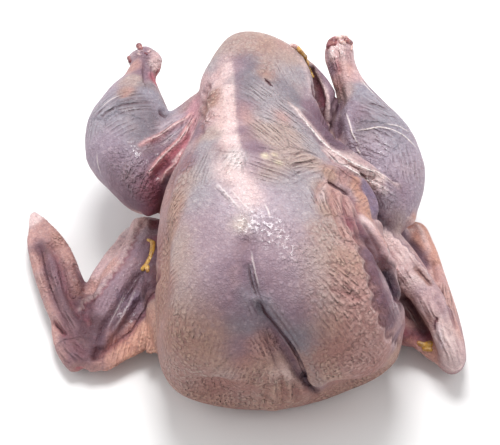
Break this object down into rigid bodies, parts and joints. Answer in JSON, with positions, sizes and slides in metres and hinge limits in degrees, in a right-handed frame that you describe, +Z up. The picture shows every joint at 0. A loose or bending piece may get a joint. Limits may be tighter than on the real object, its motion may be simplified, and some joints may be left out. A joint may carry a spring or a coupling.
{
  "type": "whole raw pheasant",
  "caption": "Plucked, drawn game bird lying on its back, without head and feet, one wing open and one folded.",
  "frame": {"origin": "on the surface that the bird lies on, below the middle of its outline", "axes": "+Z up out of the breast, +Y towards the tail and the cut hocks, -Y towards the neck end, +X towards the bird's folded wing"},
  "size_m": [0.1928, 0.1906, 0.087],
  "materials": {
    "skin": "moist, smooth"
  },
  "bodies": {
    "root": {"pheasant": "skin"}
  },
  "joints": []
}
